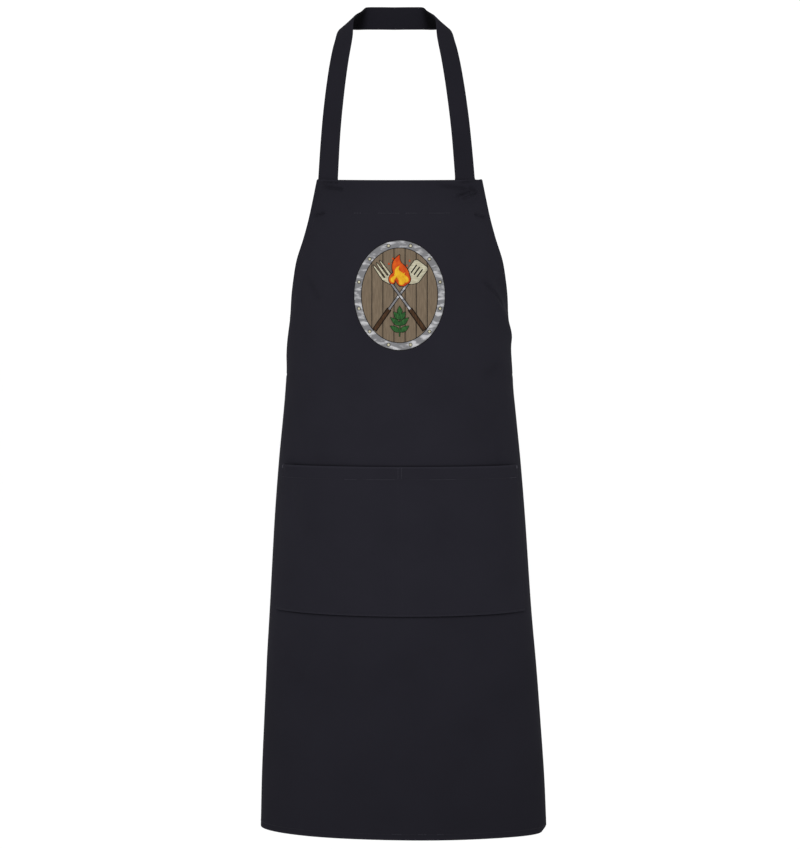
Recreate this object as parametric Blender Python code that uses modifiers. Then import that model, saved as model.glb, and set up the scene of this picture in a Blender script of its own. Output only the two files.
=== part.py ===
"""A bib apron for the barbecue, with the form that it has when it is worn.

Metres, +Z up. The front faces -Y and the wearer's left is +X. The origin is the place on the back of the
neck that the strap hangs from. A place on the cloth is told by two lengths: across, the way round the
body from the middle of the front, and drop, the height below the bib's top edge.
"""

import math
from collections import namedtuple

import bmesh
import bpy
import numpy as np
from mathutils import Vector

# Cloth
CLOTH = 0.0012
HEM_CLOTH = 0.0022
STRAP_CLOTH = 0.0018
SEAM_GAP = 0.0004

# Body, measured flat
BODY_LENGTH = 0.906
BODY_WIDTH = 0.600
BIB_WIDTH = 0.242
ARMHOLE_HEIGHT = 0.270
BIB_HEM = 0.047
SIDE_HEM = 0.012
LOWER_HEM = 0.010

# Body, as worn
WORN_WIDTH = 0.402
WORN_DEPTH = 0.250
BELLY_FORWARD = 0.019
HEM_ASIDE = 0.004
HEM_SLANT = 0.0055
BIB_CORNER_LIFT = 0.0025
FOLD_HEIGHT = 0.004
FOLD_WIDTH = 0.024
FOLD_RISE = 3
FOLD_START = 0.25

# Neck, from the middle of the bib's top edge
NECK_HEIGHT = 0.2374
NECK_DEPTH = 0.150
BIB_ASIDE = 0.0071

# Neck strap
STRAP_WIDTH = 0.032
STRAP_SEWN = 0.040
LEFT_STRAP_INSET = 0.0105
RIGHT_STRAP_INSET = 0.0008

# Front pocket
POCKET_DROP = 0.392
POCKET_HEIGHT = 0.205
POCKET_WIDTH = 0.396
POCKET_MOUTH = 0.374
POCKET_HEM = 0.019
POCKET_FULLNESS = 0.012
POCKET_END_LIFT = 0.002
POCKET_MOUTH_SHARE = 0.65
POCKET_FLOOR_SHARE = 0.4

# Waist ties and their knot
TIE_WIDTH = 0.025
TIE_SEWN = 0.022
TIE_BELOW_CORNER = 0.016
TIE_BEND = 0.018
TAIL_ASIDE = 0.015
TAIL_SPREAD = 0.016
TAIL_WAVE = 0.003
LEFT_TAIL = 0.490
RIGHT_TAIL = 0.450
KNOT_WIDTH = 0.052
KNOT_HEIGHT = 0.040
KNOT_DEPTH = 0.016

# Printed badge
PRINT_WIDTH = 0.128
PRINT_HEIGHT = 0.152
PRINT_DROP = 0.158
PRINT_SKIN = 0.0003

# Mesh
BODY_COLUMNS = 32
ARMHOLE_ROWS = 13
SKIRT_ROWS = 24
POCKET_COLUMNS = 26
POCKET_ROWS = 12
STRAP_STEPS = 22
TIE_STEPS = 12
TIE_BEND_STEPS = 7
TAIL_STEPS = 15
BAND_COLUMNS = 3

# The worn body's sections: drop in shares of BODY_LENGTH, half_width of half WORN_WIDTH, depth of half
# WORN_DEPTH, forward of BELLY_FORWARD and aside of HEM_ASIDE.
Section = namedtuple("Section", "drop half_width depth forward aside")
SECTIONS = (
    Section(0.00, 0.817, 0.92, 0.00, 0.00),
    Section(0.06, 0.792, 0.91, 0.21, 0.00),
    Section(0.12, 0.772, 0.90, 0.42, 0.00),
    Section(0.18, 0.759, 0.90, 0.63, 0.00),
    Section(0.24, 0.774, 0.90, 0.76, 0.00),
    Section(0.33, 0.801, 0.91, 0.90, 0.02),
    Section(0.43, 0.844, 0.94, 1.00, 0.06),
    Section(0.51, 0.873, 0.97, 0.97, 0.12),
    Section(0.60, 0.899, 0.99, 0.84, 0.24),
    Section(0.65, 0.913, 1.00, 0.71, 0.32),
    Section(0.74, 0.942, 0.97, 0.45, 0.52),
    Section(0.83, 0.967, 0.93, 0.18, 0.72),
    Section(0.92, 0.989, 0.88, -0.10, 0.90),
    Section(1.00, 1.000, 0.84, -0.32, 1.00),
)

# The armhole's edge: drop in shares of ARMHOLE_HEIGHT, reach in shares of the width that it cuts away.
Armhole = namedtuple("Armhole", "drop reach")
ARMHOLE = (
    Armhole(0.00, 0.000),
    Armhole(0.10, 0.042),
    Armhole(0.21, 0.096),
    Armhole(0.31, 0.165),
    Armhole(0.41, 0.262),
    Armhole(0.51, 0.345),
    Armhole(0.61, 0.448),
    Armhole(0.72, 0.560),
    Armhole(0.83, 0.690),
    Armhole(0.92, 0.820),
    Armhole(1.00, 1.000),
)

# Folds that the ties draw: across in shares of half BODY_WIDTH, drop of BODY_LENGTH, width of FOLD_WIDTH
# and height of FOLD_HEIGHT, which is below 0 in a hollow.
Fold = namedtuple("Fold", "across drop end_across end_drop width height")
FOLDS = (
    Fold(0.42, 0.150, 0.66, 0.235, 0.55, 0.75),
    Fold(0.47, 0.140, 0.66, 0.205, 0.50, -0.55),
    Fold(0.44, 0.285, 0.66, 0.320, 0.70, -0.35),
    Fold(-0.44, 0.150, -0.56, 0.215, 0.60, -0.45),
    Fold(-0.50, 0.185, -0.72, 0.262, 0.70, 0.50),
    Fold(-0.30, 0.760, -0.36, 1.000, 2.20, 0.35),
    Fold(0.36, 0.700, 0.44, 1.000, 2.60, -0.60),
    Fold(0.62, 0.700, 0.74, 1.000, 2.00, 0.60),
    Fold(-0.66, 0.740, -0.76, 1.000, 2.00, -0.45),
)

# The strap's way from the bib to the back of the neck: along in shares of that way, side of the half
# spread of its ends, back and rise of the distances to the neck. The band's width points from its inner
# to its outer edge, turned back and dipped down by these angles in degrees.
Station = namedtuple("Station", "along side back rise turn dip")
STATIONS = (
    Station(0.000, 1.000, 0.00, 0.000, 30, 0),
    Station(0.091, 0.981, 0.03, 0.120, 31, 1),
    Station(0.182, 0.960, 0.06, 0.238, 32, 2),
    Station(0.273, 0.934, 0.10, 0.357, 32, 3),
    Station(0.364, 0.902, 0.15, 0.475, 32, 4),
    Station(0.455, 0.864, 0.21, 0.595, 32, 6),
    Station(0.545, 0.818, 0.29, 0.717, 32, 8),
    Station(0.636, 0.760, 0.40, 0.839, 33, 13),
    Station(0.727, 0.708, 0.575, 0.945, 44, 27),
    Station(0.818, 0.535, 0.80, 0.980, 56, 54),
    Station(0.864, 0.435, 0.93, 0.996, 64, 76),
    Station(0.909, 0.290, 0.985, 1.000, 78, 84),
    Station(1.000, 0.000, 1.00, 1.000, 90, 84),
)

# Colours
NAVY = (0.019, 0.018, 0.026)
PRINT_BROWN = (0.19, 0.14, 0.09)

ANGLES = np.linspace(0, math.pi, 361)


def smooth_read(table, column, at):
    """A table's column at a place between its rows, on a smooth curve. The first column is the place."""
    places = np.array([row[0] for row in table])
    values = np.array([getattr(row, column) for row in table], float)
    slopes = np.gradient(values, places)
    at = min(max(at, places[0]), places[-1])
    i = min(max(int(np.searchsorted(places, at)) - 1, 0), len(places) - 2)
    step = places[i + 1] - places[i]
    t = (at - places[i]) / step
    near = (1 + 2 * t) * (1 - t) ** 2 * values[i] + t * (1 - t) ** 2 * step * slopes[i]
    far = t * t * (3 - 2 * t) * values[i + 1] + t * t * (t - 1) * step * slopes[i + 1]
    return near + far


def section_at(drop):
    """Half width, half depth, way forward and way aside of the worn body at a drop."""
    share = drop / BODY_LENGTH
    return (
        smooth_read(SECTIONS, "half_width", share) * WORN_WIDTH / 2,
        smooth_read(SECTIONS, "depth", share) * WORN_DEPTH / 2,
        smooth_read(SECTIONS, "forward", share) * BELLY_FORWARD,
        smooth_read(SECTIONS, "aside", share) * HEM_ASIDE,
    )


def way_round(wide, deep):
    """The length along a section from the middle of its front, at each of ANGLES."""
    speed = np.hypot(wide * np.cos(ANGLES), deep * np.sin(ANGLES))
    steps = (speed[1:] + speed[:-1]) / 2 * np.diff(ANGLES)
    return np.concatenate([[0], np.cumsum(steps)])


def half_round(drop):
    """The length round a section from the middle of the front to the middle of the back."""
    wide, deep, _, _ = section_at(drop)
    return way_round(wide, deep)[-1]


def relief(across, drop):
    """How far the folds lift the cloth at a place."""
    height = 0.0
    for fold in FOLDS:
        start = Vector((fold.across * BODY_WIDTH / 2, fold.drop * BODY_LENGTH))
        run = Vector((fold.end_across * BODY_WIDTH / 2, fold.end_drop * BODY_LENGTH)) - start
        here = Vector((across, drop)) - start
        share = min(max(here.dot(run) / run.dot(run), 0), 1)
        away = (here - share * run).length / (fold.width * FOLD_WIDTH)
        fade = math.sin(math.pi / 2 * min(1, FOLD_START + FOLD_RISE * share))
        height += fold.height * FOLD_HEIGHT * fade * math.exp(-away * away)
    return height


def on_body(across, drop, out=0.0):
    """The point at a place on the cloth's outer face, or out from it."""
    wide, deep, forward, aside = section_at(drop)
    angle = np.interp(abs(across), way_round(wide, deep), ANGLES)
    side = math.copysign(math.sin(angle), across)
    share = max(drop, 0) / BODY_LENGTH
    lift = BIB_CORNER_LIFT * (2 * across / BIB_WIDTH) ** 2 * max(0, 1 - drop / ARMHOLE_HEIGHT) ** 2
    slant = HEM_SLANT * side * wide / WORN_WIDTH * share**2
    point = Vector(
        (
            BIB_ASIDE + aside + wide * side,
            -NECK_DEPTH - forward + deep * (1 - math.cos(angle)),
            -NECK_HEIGHT - drop + lift - slant,
        )
    )
    outwards = Vector((deep * side, -wide * math.cos(angle), 0)).normalized()
    return point + outwards * (out + relief(across, drop))


def reach(drop):
    """The cloth's side edge, as its way across from the middle of the front."""
    cut = smooth_read(ARMHOLE, "reach", drop / ARMHOLE_HEIGHT)
    return (BIB_WIDTH + cut * (BODY_WIDTH - BIB_WIDTH)) / 2


def cloth_material(name, colour, roughness):
    """A matte Principled material."""
    material = bpy.data.materials.new(name)
    material.use_nodes = True
    shader = material.node_tree.nodes["Principled BSDF"]
    shader.inputs["Base Color"].default_value = (*colour, 1)
    shader.inputs["Roughness"].default_value = roughness
    shader.inputs["Metallic"].default_value = 0
    return material


def add_sheet(name, lines, thickness, side, material):
    """A sheet of cloth through lines of points, top line first, thickened to one side of them."""
    rows = len(lines) - 1
    columns = len(lines[0]) - 1
    grid = bmesh.new()
    bmesh.ops.create_grid(grid, x_segments=columns, y_segments=rows, size=1)
    for point in grid.verts:
        column = round((point.co.x + 1) / 2 * columns)
        row = round((1 - point.co.y) / 2 * rows)
        point.co = lines[row][column]
    mesh = bpy.data.meshes.new(name)
    grid.to_mesh(mesh)
    grid.free()
    mesh.shade_smooth()
    mesh.materials.append(material)
    sheet = bpy.data.objects.new(name, mesh)
    sheet.parent = wearer
    collection.objects.link(sheet)
    wall = sheet.modifiers.new("wall", "SOLIDIFY")
    wall.thickness = thickness
    wall.offset = side
    wall.use_even_offset = True
    return sheet


def thicken_hems(sheet, columns, inner_rows, inner_columns):
    """Gives a sheet its hem's thickness outside these rows and columns, and one layer's inside."""
    hem = sheet.vertex_groups.new(name="hem")
    for point in sheet.data.vertices:
        row, column = divmod(point.index, columns)
        inside = row in inner_rows and column in inner_columns
        hem.add([point.index], 0.0 if inside else 1.0, "REPLACE")
    wall = sheet.modifiers["wall"]
    wall.vertex_group = hem.name
    wall.thickness_vertex_group = CLOTH / wall.thickness


def add_body():
    """The bib and skirt in one panel, thicker in its turned hems."""
    drops = [0, BIB_HEM / 2, BIB_HEM]
    drops += list(np.linspace(BIB_HEM, ARMHOLE_HEIGHT, ARMHOLE_ROWS)[1:])
    drops += list(np.linspace(ARMHOLE_HEIGHT, BODY_LENGTH - LOWER_HEM, SKIRT_ROWS)[1:])
    drops.append(BODY_LENGTH)
    lines = []
    for drop in drops:
        edge = reach(drop)
        inner = np.linspace(SIDE_HEM - edge, edge - SIDE_HEM, BODY_COLUMNS - 1)
        lines.append([on_body(across, drop) for across in (-edge, *inner, edge)])
    body = add_sheet("apron_body", lines, HEM_CLOTH, -1, cloth_material("body_twill", NAVY, 0.92))
    # The grid counts its rows from the last line up.
    count = len(lines)
    thicken_hems(body, len(lines[0]), range(2, count - 3), range(2, BODY_COLUMNS - 1))


def add_pocket():
    """The pocket's panel, sewn at its sides, its bottom and down its middle, and full between."""
    lines = []
    drops = [0, POCKET_HEM]
    drops += list(np.linspace(POCKET_HEM, POCKET_HEIGHT, POCKET_ROWS)[1:])
    for down in drops:
        share = down / POCKET_HEIGHT
        half = (POCKET_MOUTH + (POCKET_WIDTH - POCKET_MOUTH) * math.sqrt(share)) / 2
        bulge = POCKET_MOUTH_SHARE + (1 - POCKET_MOUTH_SHARE) * math.sin(math.pi * share)
        bulge *= math.sin(math.pi / 2 * min(1, (1 - share) / POCKET_FLOOR_SHARE))
        line = []
        for place in np.linspace(-1, 1, POCKET_COLUMNS + 1):
            full = abs(math.sin(math.pi * place)) * bulge
            out = SEAM_GAP + POCKET_FULLNESS * full
            drop = POCKET_DROP + down - POCKET_END_LIFT * share * place**2
            line.append(on_body(place * half, drop, out))
        lines.append(line)
    pocket = add_sheet("front_pocket", lines, HEM_CLOTH, 1, cloth_material("pocket_twill", NAVY, 0.92))
    thicken_hems(pocket, POCKET_COLUMNS + 1, range(0, len(lines) - 2), range(POCKET_COLUMNS + 1))


def band_line(inner, outer):
    """Points across a band, from its outer to its inner edge."""
    return [outer.lerp(inner, share) for share in np.linspace(0, 1, BAND_COLUMNS + 1)]


def sewn_strap_line(side, inset, drop):
    """Points across the strap's end where it is sewn behind the bib."""
    out = -HEM_CLOTH - SEAM_GAP - STRAP_CLOTH
    outer = BIB_WIDTH / 2 - inset
    return [
        on_body(side * across, drop, out)
        for across in np.linspace(outer, outer - STRAP_WIDTH, BAND_COLUMNS + 1)
    ]


def add_strap():
    """The neck strap: sewn behind the bib at both ends, up the chest and round the back of the neck."""
    insets = {-1: RIGHT_STRAP_INSET, 1: LEFT_STRAP_INSET}
    sewn = {
        side: [sewn_strap_line(side, inset, drop) for drop in np.linspace(STRAP_SEWN, 0, 4)]
        for side, inset in insets.items()
    }
    ends = {side: (lines[-1][0] + lines[-1][-1]) / 2 for side, lines in sewn.items()}
    spread = (ends[1].x - ends[-1].x) / 2
    middle = (ends[1].x + ends[-1].x) / 2

    def centre(side, along):
        back = smooth_read(STATIONS, "back", along)
        rise = smooth_read(STATIONS, "rise", along)
        x = side * spread * smooth_read(STATIONS, "side", along) + middle * (1 - rise)
        return Vector((x, ends[side].y * (1 - back), ends[side].z * (1 - rise)))

    def free_line(side, along):
        here = centre(side, along)
        way = (centre(side, min(1, along + 0.01)) - centre(side, max(0, along - 0.01))).normalized()
        turn = math.radians(smooth_read(STATIONS, "turn", along))
        dip = math.radians(smooth_read(STATIONS, "dip", along))
        flat = math.cos(dip)
        wide = Vector((side * math.cos(turn) * flat, math.sin(turn) * flat, -math.sin(dip)))
        wide = (wide - wide.dot(way) * way).normalized() * STRAP_WIDTH / 2
        return band_line(here - wide, here + wide)

    halves = {}
    for side in (-1, 1):
        shares = np.linspace(0, 1, STRAP_STEPS + 1)
        halves[side] = sewn[side] + [free_line(side, along) for along in shares[1:]]
    lines = halves[1] + halves[-1][-2::-1]
    add_sheet("neck_strap", lines, STRAP_CLOTH, 1, cloth_material("strap_twill", NAVY, 0.9))


def on_back(aside, drop, out):
    """A point round the back: aside is the way round from the middle of the back, + on the left."""
    across = half_round(drop) - abs(aside)
    return on_body(math.copysign(across, aside), drop, out)


def add_tie(name, side, tail):
    """One waist tie: sewn inside the side corner, round the back, and down from the knot."""
    level = ARMHOLE_HEIGHT + TIE_BELOW_CORNER
    out = -HEM_CLOTH - SEAM_GAP
    start = half_round(level) - BODY_WIDTH / 2 + TIE_SEWN
    bend_at = TAIL_ASIDE + TIE_BEND
    route = [(aside, level, 0) for aside in np.linspace(start, bend_at, TIE_STEPS)]
    for turn in np.radians(np.linspace(0, 90, TIE_BEND_STEPS)[1:]):
        aside = bend_at - TIE_BEND * math.sin(turn)
        route.append((aside, level + TIE_BEND * (1 - math.cos(turn)), turn))
    for share in np.linspace(0, 1, TAIL_STEPS)[1:]:
        wave = TAIL_WAVE * math.sin(3 * math.pi * share + side)
        aside = TAIL_ASIDE + TAIL_SPREAD * share + wave
        route.append((aside, level + TIE_BEND + tail * share, math.pi / 2))
    lines = []
    for aside, drop, turn in route:
        line = []
        for share in np.linspace(-0.5, 0.5, BAND_COLUMNS + 1):
            step = share * TIE_WIDTH
            place = side * (aside + step * math.sin(turn))
            line.append(on_back(place, drop - step * math.cos(turn), out))
        lines.append(line if side > 0 else line[::-1])
    add_sheet(name, lines, STRAP_CLOTH, -1, cloth_material(name + "_twill", NAVY, 0.9))


def add_knot():
    """The ties' knot, a soft lump behind the place where both bend down."""
    level = ARMHOLE_HEIGHT + TIE_BELOW_CORNER + TIE_BEND / 2
    out = SEAM_GAP + KNOT_DEPTH / 2 - HEM_CLOTH
    ball = bmesh.new()
    bmesh.ops.create_uvsphere(ball, u_segments=16, v_segments=10, radius=0.5)
    for point in ball.verts:
        point.co.x *= KNOT_WIDTH
        point.co.y *= KNOT_DEPTH
        point.co.z *= KNOT_HEIGHT
    mesh = bpy.data.meshes.new("tie_knot")
    ball.to_mesh(mesh)
    ball.free()
    mesh.shade_smooth()
    mesh.materials.append(cloth_material("knot_twill", NAVY, 0.9))
    knot = bpy.data.objects.new("tie_knot", mesh)
    above = on_back(0, level - KNOT_HEIGHT / 2, out)
    below = on_back(0, level + KNOT_HEIGHT / 2, out)
    knot.location = (above + below) / 2
    knot.rotation_euler.x = math.atan2(below.y - above.y, above.z - below.z)
    knot.parent = wearer
    collection.objects.link(knot)


def add_print():
    """The badge's skin of print: a round-cornered grid drawn out to an upright oval on the chest."""
    steps = np.linspace(-1, 1, 13)
    lines = []
    for down in steps:
        line = []
        for place in steps:
            across = place * math.sqrt(1 - down * down / 2) * PRINT_WIDTH / 2
            drop = PRINT_DROP + down * math.sqrt(1 - place * place / 2) * PRINT_HEIGHT / 2
            line.append(on_body(across, drop, SEAM_GAP + PRINT_SKIN))
        lines.append(line)
    add_sheet("chest_print", lines, PRINT_SKIN, -1, cloth_material("print_ink", PRINT_BROWN, 0.7))


for leftover in list(bpy.data.objects):
    bpy.data.objects.remove(leftover, do_unlink=True)
collection = bpy.data.collections.new("bbq_apron")
bpy.context.scene.collection.children.link(collection)
wearer = bpy.data.objects.new("worn_at_neck", None)
collection.objects.link(wearer)

add_body()
add_pocket()
add_strap()
add_tie("waist_tie_left", 1, LEFT_TAIL)
add_tie("waist_tie_right", -1, RIGHT_TAIL)
add_knot()
add_print()
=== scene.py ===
import math
from collections import namedtuple

import bpy
import numpy as np
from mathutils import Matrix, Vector


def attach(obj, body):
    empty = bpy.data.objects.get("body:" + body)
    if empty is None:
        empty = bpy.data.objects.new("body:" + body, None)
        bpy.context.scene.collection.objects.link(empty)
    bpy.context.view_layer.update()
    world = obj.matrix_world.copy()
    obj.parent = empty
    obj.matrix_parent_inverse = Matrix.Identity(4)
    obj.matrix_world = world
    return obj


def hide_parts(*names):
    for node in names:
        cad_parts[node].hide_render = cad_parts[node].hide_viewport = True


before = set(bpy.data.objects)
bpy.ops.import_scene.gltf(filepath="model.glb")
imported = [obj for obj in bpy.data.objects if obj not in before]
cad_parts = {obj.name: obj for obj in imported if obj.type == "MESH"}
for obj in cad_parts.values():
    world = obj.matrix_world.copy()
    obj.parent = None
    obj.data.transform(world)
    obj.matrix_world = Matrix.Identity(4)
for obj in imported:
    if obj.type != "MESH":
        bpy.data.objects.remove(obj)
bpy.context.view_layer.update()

# The camera: a long lens, level with the upper chest and four metres in front of the bib.
# It is shifted down, so that the whole apron stands upright in the frame.
PHOTO_HEIGHT = 849
LENS_IN_PIXELS = 2920
HORIZON_PIXEL = 335
SENSOR = 36
CAMERA_PLACE = (0.0077, -4.150, -0.4497)

bpy.ops.object.camera_add(location=CAMERA_PLACE, rotation=(math.pi / 2, 0, 0))
camera = bpy.context.object
camera.name = "camera"
camera.data.sensor_width = SENSOR
camera.data.lens = SENSOR * LENS_IN_PIXELS / PHOTO_HEIGHT
camera.data.shift_y = -(PHOTO_HEIGHT / 2 - HORIZON_PIXEL) / PHOTO_HEIGHT
camera.data.clip_end = 200
bpy.context.scene.camera = camera

# The apron's panel: bib and skirt cut in one piece from dark navy cotton twill. Every edge is turned
# under twice and sewn, and the worn cloth bends round the body and is drawn back by the ties.
CLOTH = 0.0006
BODY_LENGTH = 0.906
BODY_WIDTH = 0.600
BIB_WIDTH = 0.242
ARMHOLE_HEIGHT = 0.270
BIB_HEM = 0.047
SIDE_HEM = 0.012
LOWER_HEM = 0.010
WORN_WIDTH = 0.402
WORN_DEPTH = 0.250
BELLY_FORWARD = 0.019
HEM_ASIDE = 0.004
HEM_SLANT = 0.0055
BIB_CORNER_LIFT = 0.0025
FOLD_HEIGHT = 0.004
FOLD_WIDTH = 0.024
NECK_HEIGHT = 0.2374
NECK_DEPTH = 0.150
BIB_ASIDE = 0.0071
POCKET_DROP = 0.392
POCKET_HEIGHT = 0.205
POCKET_WIDTH = 0.396
POCKET_MOUTH = 0.374
POCKET_END_LIFT = 0.002
HEM_RADIUS = 0.0011
CURL_RADIUS = 0.0006
CURLED_AT = 0.250
CURL_WIDE = 0.035
CURL_HIGH = 0.0045
CURL_IN = 0.0065
NAVY = (0.0102, 0.0098, 0.0134)
RIB = 0.0011
RIB_TURN = 63
BAND_SCALE = 0.314
WEAR = 0.35
MOTTLE = 0.55
SEAM_IN = 0.0015
BIB_LOW = 0.26
# Strengths of the painted shade on the apron's cloth: towards the hem and more to the right, in thin lines at
# the pocket's mouth and under its lower edge, and along the bib's top hem.
HEM_PAINTED_SHADE = 0.22
HEM_PAINTED_SHADE_RIGHT = 0.14
MOUTH_PAINTED_SHADOW = 0.62
MOUTH_PAINTED_SHADOW_LEFT = 0.25
FLOOR_PAINTED_SHADOW = 0.6
TOP_PAINTED_SHADE = 0.10

Section = namedtuple("Section", "drop half_width depth forward aside")
SECTIONS = (
    Section(0.00, 0.817, 0.92, 0.00, 0.00),
    Section(0.06, 0.792, 0.91, 0.21, 0.00),
    Section(0.12, 0.772, 0.90, 0.42, 0.00),
    Section(0.18, 0.759, 0.90, 0.63, 0.00),
    Section(0.24, 0.774, 0.90, 0.76, 0.00),
    Section(0.33, 0.801, 0.91, 0.90, 0.02),
    Section(0.43, 0.844, 0.94, 1.00, 0.06),
    Section(0.51, 0.873, 0.97, 0.97, 0.12),
    Section(0.60, 0.899, 0.99, 0.84, 0.24),
    Section(0.65, 0.913, 1.00, 0.71, 0.32),
    Section(0.74, 0.942, 0.97, 0.45, 0.52),
    Section(0.83, 0.967, 0.93, 0.18, 0.72),
    Section(0.92, 0.989, 0.88, -0.10, 0.90),
    Section(1.00, 1.000, 0.84, -0.32, 1.00),
)

Armhole = namedtuple("Armhole", "drop reach")
ARMHOLE = (
    Armhole(0.00, 0.000),
    Armhole(0.10, 0.042),
    Armhole(0.21, 0.096),
    Armhole(0.31, 0.165),
    Armhole(0.41, 0.262),
    Armhole(0.51, 0.345),
    Armhole(0.61, 0.448),
    Armhole(0.72, 0.560),
    Armhole(0.83, 0.690),
    Armhole(0.92, 0.820),
    Armhole(1.00, 1.000),
)

Fold = namedtuple("Fold", "across drop end_across end_drop width height")
FOLDS = (
    Fold(0.42, 0.150, 0.66, 0.235, 0.55, 0.75),
    Fold(0.47, 0.140, 0.66, 0.205, 0.50, -0.55),
    Fold(0.44, 0.285, 0.66, 0.320, 0.70, -0.35),
    Fold(-0.44, 0.150, -0.56, 0.215, 0.60, -0.45),
    Fold(-0.50, 0.185, -0.72, 0.262, 0.70, 0.50),
    Fold(-0.30, 0.760, -0.36, 1.000, 2.20, 0.35),
    Fold(0.36, 0.700, 0.44, 1.000, 2.60, -0.60),
    Fold(0.62, 0.700, 0.74, 1.000, 2.00, 0.60),
    Fold(-0.66, 0.740, -0.76, 1.000, 2.00, -0.45),
)


def smooth_read(table, column, at):
    """A table's column at places between its rows, on a smooth curve."""
    places = np.array([row[0] for row in table])
    values = np.array([getattr(row, column) for row in table], float)
    slopes = np.gradient(values, places)
    at = np.clip(at, places[0], places[-1])
    i = np.clip(np.searchsorted(places, at) - 1, 0, len(places) - 2)
    step = places[i + 1] - places[i]
    t = (at - places[i]) / step
    near = (1 + 2 * t) * (1 - t) ** 2 * values[i] + t * (1 - t) ** 2 * step * slopes[i]
    far = t * t * (3 - 2 * t) * values[i + 1] + t * t * (t - 1) * step * slopes[i + 1]
    return near + far


def section_at(drop):
    """Half width, half depth, way forward and way aside of the worn body at some drops."""
    share = drop / BODY_LENGTH
    return (
        smooth_read(SECTIONS, "half_width", share) * WORN_WIDTH / 2,
        smooth_read(SECTIONS, "depth", share) * WORN_DEPTH / 2,
        smooth_read(SECTIONS, "forward", share) * BELLY_FORWARD,
        smooth_read(SECTIONS, "aside", share) * HEM_ASIDE,
    )


# Half ellipses measured once: the angle that lies at each share of the way round, at each drop.
ANGLES = np.linspace(0, math.pi, 721)
TABLE_DROPS = np.linspace(0, BODY_LENGTH, 301)
WAY_SHARES = np.linspace(0, 1, 721)
half_rounds = np.zeros(len(TABLE_DROPS))
angle_table = np.zeros((len(TABLE_DROPS), len(WAY_SHARES)))
for i, table_drop in enumerate(TABLE_DROPS):
    half_wide, half_deep, _, _ = section_at(table_drop)
    speed = np.hypot(half_wide * np.cos(ANGLES), half_deep * np.sin(ANGLES))
    way = np.concatenate([[0], np.cumsum((speed[1:] + speed[:-1]) / 2 * np.diff(ANGLES))])
    half_rounds[i] = way[-1]
    angle_table[i] = np.interp(WAY_SHARES * way[-1], way, ANGLES)


def half_round(drop):
    """The length round the body from the middle of the front to the middle of the back."""
    return np.interp(drop, TABLE_DROPS, half_rounds)


def angle_at(across, drop):
    """The angle round the body at some places on the cloth."""
    row = np.clip(drop / BODY_LENGTH, 0, 1) * (len(TABLE_DROPS) - 1)
    column = np.clip(np.abs(across) / half_round(drop), 0, 1) * (len(WAY_SHARES) - 1)
    i = np.minimum(row.astype(int), len(TABLE_DROPS) - 2)
    j = np.minimum(column.astype(int), len(WAY_SHARES) - 2)
    down, along = row - i, column - j
    upper = angle_table[i, j] * (1 - along) + angle_table[i, j + 1] * along
    lower = angle_table[i + 1, j] * (1 - along) + angle_table[i + 1, j + 1] * along
    return upper * (1 - down) + lower * down


def bell(away, wide):
    """One at no distance, and less and less at more than a width away."""
    return np.exp(-((away / wide) ** 2))


def unit(ways):
    """Directions, each made one long."""
    return ways / np.linalg.norm(ways, axis=-1, keepdims=True)


def run_along(line):
    """How far along a line each of its points lies."""
    return np.concatenate([[0], np.cumsum(np.linalg.norm(np.diff(line, axis=0), axis=1))])


def ridge(across, drop, start, end, width, height):
    """A soft fold along a line: how far it lifts the cloth, less at its start."""
    run = np.subtract(end, start)
    share = ((across - start[0]) * run[0] + (drop - start[1]) * run[1]) / (run @ run)
    share = np.clip(share, 0, 1)
    away = np.hypot(across - start[0] - share * run[0], drop - start[1] - share * run[1]) / width
    fade = np.sin(math.pi / 2 * np.minimum(1, 0.25 + 3 * share))
    return height * fade * np.exp(-away * away)


# Small creases that the sewing and the wearing leave, in metres: a line and how wide and high it is.
Crease = namedtuple("Crease", "across drop end_across end_drop width height")
CREASES = (
    Crease(-0.112, 0.003, -0.088, 0.004, 0.0014, -0.0014),
    Crease(-0.110, 0.006, -0.100, 0.002, 0.0013, 0.0016),
    Crease(-0.098, 0.006, -0.090, 0.002, 0.0013, 0.0015),
    Crease(-0.110, 0.010, -0.082, 0.013, 0.0024, -0.0020),
    Crease(-0.106, 0.014, -0.088, 0.016, 0.0020, 0.0009),
    Crease(0.056, 0.008, 0.106, 0.014, 0.0026, -0.0018),
    Crease(0.076, 0.020, 0.090, 0.015, 0.0012, 0.0020),
    Crease(0.074, 0.023, 0.084, 0.021, 0.0011, 0.0015),
    Crease(0.083, 0.022, 0.100, 0.017, 0.0013, -0.0024),
    Crease(0.090, 0.026, 0.110, 0.019, 0.0015, -0.0020),
    Crease(0.096, 0.011, 0.111, 0.025, 0.0015, 0.0020),
    Crease(0.101, 0.009, 0.112, 0.017, 0.0013, -0.0018),
    Crease(0.086, 0.031, 0.110, 0.028, 0.0020, 0.0012),
    Crease(0.086, 0.004, 0.110, 0.001, 0.0018, -0.0016),
    Crease(-0.127, 0.050, -0.110, 0.046, 0.0017, -0.0022),
    Crease(-0.122, 0.054, -0.112, 0.052, 0.0015, 0.0015),
    Crease(0.128, 0.052, 0.110, 0.048, 0.0017, -0.0022),
    Crease(0.122, 0.056, 0.112, 0.053, 0.0015, 0.0015),
    Crease(0.141, 0.336, 0.147, 0.376, 0.0035, 0.0017),
    Crease(0.156, 0.255, 0.128, 0.268, 0.0060, -0.0020),
    Crease(-0.140, 0.139, -0.122, 0.160, 0.0050, -0.0018),
    Crease(0.124, 0.139, 0.163, 0.168, 0.0034, -0.0020),
    Crease(0.120, 0.145, 0.157, 0.175, 0.0042, 0.0016),
)
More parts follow.
